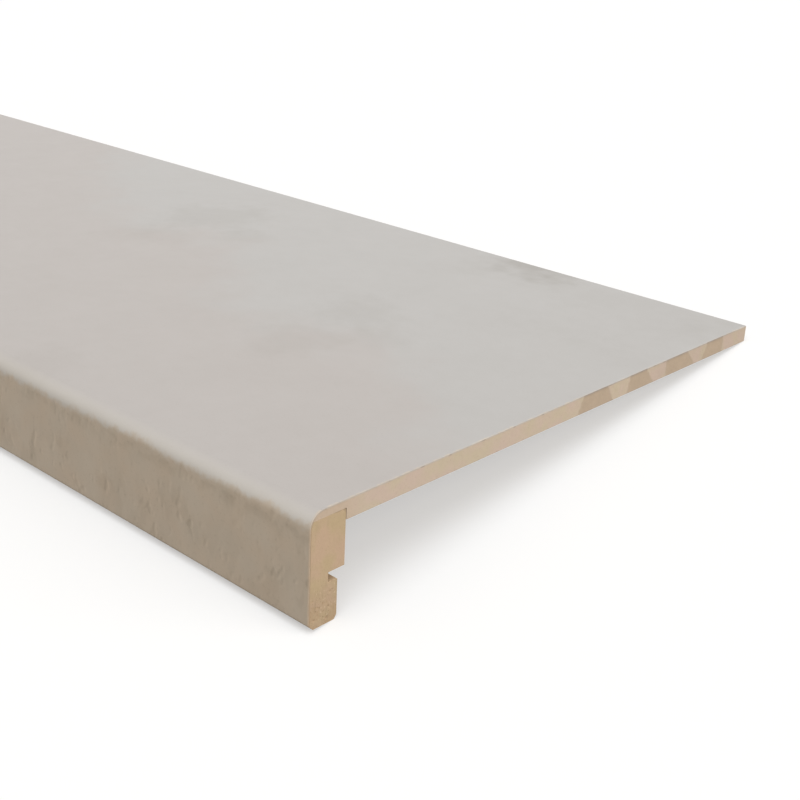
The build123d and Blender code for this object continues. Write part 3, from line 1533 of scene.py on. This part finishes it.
@dataclass(frozen=True)
class NoseFinish(RawFibreboard):
    """Finish of the nose block: darker and more speckled towards the foot, darker inside the groove by
    painted shade and scorch.
    """

    foot_band: Pair = (12 * MM, 24 * MM)
    foot_depth: float = 0.08
    speck_depth: float = 0.45
    specks_above: float = -0.35
    streaks: Marks = Marks(420.0, 0.56, 0.74, -0.16)
    streaks_above: float = 0.12
    tall: Triple = (1.0, 1.0, 0.22)
    torn: Marks = Marks(760.0, 0.6, 0.74, 0.6, detail=1.0)
    light_speck: Colour = srgb(222, 200, 172)
    web_margin: float = 0.1 * MM
    wall_margins: Pair = (0.3 * MM, 0.2 * MM)
    lip_margins: Pair = (-0.15 * MM, 0.2 * MM)
    # Painted shade with the cutter's scorch on the groove's inner walls
    scorch_and_shade: float = -0.35
    # Painted light on the top of the lip inside the groove
    lip_top_light: float = 0.4
    joint_run: float = 11 * MM
    joint_fade: float = 2 * MM
    joint_line: Marks = Marks(900.0, 0.4, 0.6, -0.3)
    joint_band: Pair = (-0.5 * MM, -0.1 * MM)
    glue_reach: float = 2 * MM
    glue_side: float = 0.3 * MM
    glue_depth: float = -0.14

    def marks(self, place: BoardPlace) -> Socket:
        """Darken the lower part in streaks, the groove's inner walls and the glue joint's line.

        Args:
            place: Where it is on the board.

        Returns:
            The factor for the colour.
        """
        graph = place.graph
        upper = graph.smooth(place.height, *self.foot_band)
        level = graph.add_times(1 - self.foot_depth, upper, self.foot_depth)
        tall = graph.node("ShaderNodeMapping", {0: place.spot, "Scale": self.tall}).outputs[0]
        depth = graph.add_times(self.streaks.depth, upper, self.streaks_above)
        factor = graph.add_times(level, self.streaks.mask(graph, tall), depth)
        factor = graph.times(factor, self.groove_shade(place))
        return graph.times(factor, self.joint_shade(place))

    def groove_shade(self, place: BoardPlace) -> Socket:
        """Darken the groove's inner walls with painted shade and scorch, and lighten the top of the lip with
        painted light.

        Args:
            place: Where it is on the board.

        Returns:
            The factor for the colour.
        """
        graph, run, height, sawn = place.graph, place.run, place.height, place.sawn
        lip_top = self.section.lip_height
        groove_top = lip_top + self.section.groove_height
        behind_web = graph.math("GREATER_THAN", run, self.section.groove_web - self.web_margin)
        inside = graph.times(behind_web, graph.math("SUBTRACT", 1.0, sawn))
        above_lip, above_groove = self.wall_margins
        wall = self.between(graph, height, lip_top + above_lip, groove_top + above_groove)
        lip = self.between(graph, height, *(lip_top + margin for margin in self.lip_margins))
        # Painted shade with scorch on the groove's inner walls
        shaded_and_scorched = graph.add_times(1.0, graph.times(wall, inside), self.scorch_and_shade)
        # Painted light on the lip's top
        lit_lip_top = graph.add_times(1.0, graph.times(lip, inside), self.lip_top_light)
        return graph.times(shaded_and_scorched, lit_lip_top)

    def joint_shade(self, place: BoardPlace) -> Socket:
        """Darken the glue in the block's top back corner, and in places the joint's line in front of it.

        The glue's side is the line on which run and height together fall short of the corner's by the reach.

        Args:
            place: Where it is on the board.

        Returns:
            The factor for the colour.
        """
        graph, spot, run, height = place.graph, place.spot, place.run, place.height
        joint = self.section.joint_height
        corner = self.section.nose_thickness + joint - self.glue_reach
        into_corner = graph.math("SUBTRACT", graph.math("ADD", run, height), corner)
        glue = graph.smooth(into_corner, -self.glue_side, self.glue_side)
        line = graph.smooth(height, *(joint + step for step in self.joint_band))
        line = graph.times(line, graph.smooth(run, self.joint_run, self.joint_run + self.joint_fade))
        line = graph.times(line, self.joint_line.mask(graph, spot))
        glued = graph.add_times(1.0, glue, self.glue_depth)
        return graph.times(glued, graph.add_times(1.0, line, self.joint_line.depth))

    @staticmethod
    def between(graph: Graph, value: Socket, low: float, high: float) -> Socket:
        """Give 1 where a value lies between two others."""
        return graph.times(graph.math("GREATER_THAN", value, low), graph.math("LESS_THAN", value, high))

    def own_colour(self, place: BoardPlace, colour: Socket) -> Socket:
        """Add light torn fibres towards the foot.

        Args:
            place: Where it is on the board.
            colour: The sawn colour.

        Returns:
            The colour.
        """
        graph = place.graph
        torn = self.torn.mask(graph, graph.vector(place.run, place.height))
        low = graph.smooth(place.height, *reversed(self.foot_band))
        return graph.mix(graph.times(torn, graph.times(low, self.torn.depth)), colour, self.light_speck)

    def speck_share(self, place: BoardPlace) -> Value:
        """Show more specks towards the foot."""
        upper = place.graph.smooth(place.height, *self.foot_band)
        return place.graph.add_times(self.speck_depth, upper, self.specks_above)


@dataclass(frozen=True)
class PhotoCamera:
    """The camera of the photograph, found from the tread's straight edges.

    Angles are in degrees. The focal length and the corner's place in the picture are in pixels.
    """

    azimuth: float = 44.206
    elevation: float = 28.147
    roll: float = -2.911
    focal: float = 1255.68
    corner_right: float = 310.45
    corner_down: float = 514.63
    corner_depth: float = 507.2 * MM
    nearest: float = 0.01
    farthest: float = 50.0

    def place(self, corner: Vector) -> None:
        """Put the camera where the tread's sharp nose corner falls on its pixel, at its depth.

        Args:
            corner: The corner between top, front and right end, before it is rounded.
        """
        angles = (self.azimuth, self.elevation, self.roll)
        azimuth, elevation, roll = (math.radians(angle) for angle in angles)
        back = Vector((
            math.sin(azimuth) * math.cos(elevation),
            -math.cos(azimuth) * math.cos(elevation),
            math.sin(elevation),
        ))
        level_right = Vector((0, 0, 1)).cross(back).normalized()
        level_up = back.cross(level_right)
        right = level_right * math.cos(roll) + level_up * math.sin(roll)
        up = level_up * math.cos(roll) - level_right * math.sin(roll)
        middle = IMAGE_SIDE / 2
        across = (self.corner_right - middle) / self.focal * self.corner_depth
        down = (self.corner_down - middle) / self.focal * self.corner_depth
        place = corner - right * across + up * down + back * self.corner_depth
        data = bpy.data.cameras.new("photo_camera")
        data.sensor_width = SENSOR_WIDTH
        data.lens = self.focal * SENSOR_WIDTH / IMAGE_SIDE
        data.clip_start = self.nearest
        data.clip_end = self.farthest
        camera = bpy.data.objects.new("photo_camera", data)
        camera.matrix_world = Matrix.Translation(place) @ Matrix((right, up, back)).transposed().to_4x4()
        bpy.context.scene.collection.objects.link(camera)
        bpy.context.scene.camera = camera


@dataclass(frozen=True)
class Studio:
    """Plain pale floor and soft light: one light overhead, one at the right end, warm surroundings."""

    floor_reach: float = 12.0
    overhead: float = 1.5
    overhead_colour: Triple = (0.93, 1.0, 1.08)
    overhead_tilt: Triple = (math.radians(14), math.radians(10), 0.0)
    side: float = 1.75
    side_colour: Triple = (1.0, 0.98, 0.95)
    side_turn: Triple = (0.0, math.radians(70), math.radians(18))
    spread: float = math.radians(50)
    glow: float = 0.45
    ambient: float = 0.42
    ambient_colour: Colour = (1.0, 0.9, 0.77, 1.0)
    bounce: Colour = (0.3, 0.28, 0.25, 1.0)

    def build(self) -> None:
        """Make the floor, the lights and the world."""
        self.floor()
        self.sun("overhead_light", self.overhead, self.overhead_colour, self.overhead_tilt)
        self.sun("side_light", self.side, self.side_colour, self.side_turn)
        self.world()

    @staticmethod
    def seen(graph: Graph) -> Socket:
        """Give 1 for the rays of the camera, of gloss and of transmission, and 0 for the others.

        Args:
            graph: The material's graph or the world's.

        Returns:
            That share.
        """
        path = graph.node("ShaderNodeLightPath").outputs
        seen = graph.math("MAXIMUM", path["Is Camera Ray"], path["Is Glossy Ray"])
        return graph.math("MAXIMUM", seen, path["Is Transmission Ray"])

    def floor(self) -> None:
        """Make the floor: white with a glow where it is seen, darker for the light it throws back."""
        material, graph, shader = new_material("studio_floor")
        seen = self.seen(graph)
        reflecting = 1 - self.glow
        white = (reflecting, reflecting, reflecting, 1.0)
        graph.feed(shader.inputs["Base Color"], graph.mix(seen, self.bounce, white))
        graph.feed(shader.inputs["Emission Color"], graph.mix(seen, BLACK, WHITE))
        shader.inputs["Emission Strength"].default_value = self.glow
        shader.inputs["Roughness"].default_value = 1.0
        shader.inputs["Specular IOR Level"].default_value = 0.0
        reach = self.floor_reach
        mesh = bpy.data.meshes.new("studio_floor")
        corners = np.array(((-reach, -reach, 0), (reach, -reach, 0), (reach, reach, 0), (-reach, reach, 0)))
        mesh.from_pydata(corners, [], [(0, 1, 2, 3)])
        mesh.materials.append(material)
        floor = bpy.data.objects.new("studio_floor", mesh)
        bpy.context.scene.collection.objects.link(floor)

    def sun(self, name: str, strength: float, colour: tuple[float, float, float], turn: tuple) -> None:
        """Add a distant soft light.

        Args:
            name: The light's name.
            strength: Its strength.
            colour: Its colour.
            turn: Its Euler angles.
        """
        data = bpy.data.lights.new(name, "SUN")
        data.energy = strength
        data.color = colour
        data.angle = self.spread
        lamp = bpy.data.objects.new(name, data)
        lamp.rotation_euler = turn
        bpy.context.scene.collection.objects.link(lamp)

    def world(self) -> None:
        """Make the surroundings: even warm light, and white where they are seen past the floor."""
        world = bpy.data.worlds.new("studio_world")
        world.use_nodes = True
        bpy.context.scene.world = world
        graph = Graph(world.node_tree)
        background = world.node_tree.nodes["Background"]
        seen = self.seen(graph)
        graph.feed(background.inputs["Color"], graph.mix(seen, self.ambient_colour, WHITE))
        strength = graph.node("ShaderNodeMapRange", {"Value": seen, "To Min": self.ambient, "To Max": 1.0})
        graph.feed(background.inputs["Strength"], strength.outputs[0])


@dataclass
class StairTread:
    """The whole tread: decor sheet, board and nose block, dressed and set on the frame."""

    section: TreadSection = field(default_factory=TreadSection)
    decor: ConcreteDecor = field(default_factory=ConcreteDecor)
    board_finish: BoardFinish = field(default_factory=lambda: BoardFinish(
        name="sawn_board",
        face=srgb(200, 182, 158),
        sawn=srgb(201, 187, 165),
        pink=srgb(204, 185, 171),
        speck=srgb(150, 126, 98),
    ))
    nose_finish: NoseFinish = field(default_factory=lambda: NoseFinish(
        name="sawn_nose_strip",
        face=srgb(190, 165, 135),
        sawn=srgb(191, 170, 138),
        pink=srgb(196, 170, 145),
        speck=srgb(126, 98, 72),
    ))

    def build(self) -> None:
        """Build and dress the three pieces."""
        low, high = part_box("tread_board")
        length = high.x - low.x
        recipes = (
            (DecorSheet(self.section, length, "decor_sheet", "decor_laminate", "laminate"), self.decor),
            (TreadBoard(self.section, length, "board", "tread_board", "board"), self.board_finish),
            (NoseBlock(self.section, length, "nose_strip", "nose_block", "nose_strip"), self.nose_finish),
        )
        for recipe, finish in recipes:
            piece = recipe.build()
            piece.data.materials.append(finish.make())
            points, faces = len(piece.data.vertices), len(piece.data.polygons)
            log.info("%s: %d points, %d faces", piece.name, points, faces)

    def nose_corner(self) -> Vector:
        """Give the sharp corner between top, front and right end, before the nose is rounded."""
        corner = self.section.place(np.array(HALF_LENGTH), np.array((0.0, self.section.nose_height)))
        return Vector(corner)


def main() -> None:
    """Build the tread, the studio and the camera."""
    logging.basicConfig(level=logging.INFO, format="%(name)s: %(message)s")
    bpy.context.scene.view_settings.view_transform = "Standard"
    tread = StairTread()
    tread.build()
    Studio().build()
    PhotoCamera().place(tread.nose_corner())


if __name__ == "__main__":
    main()
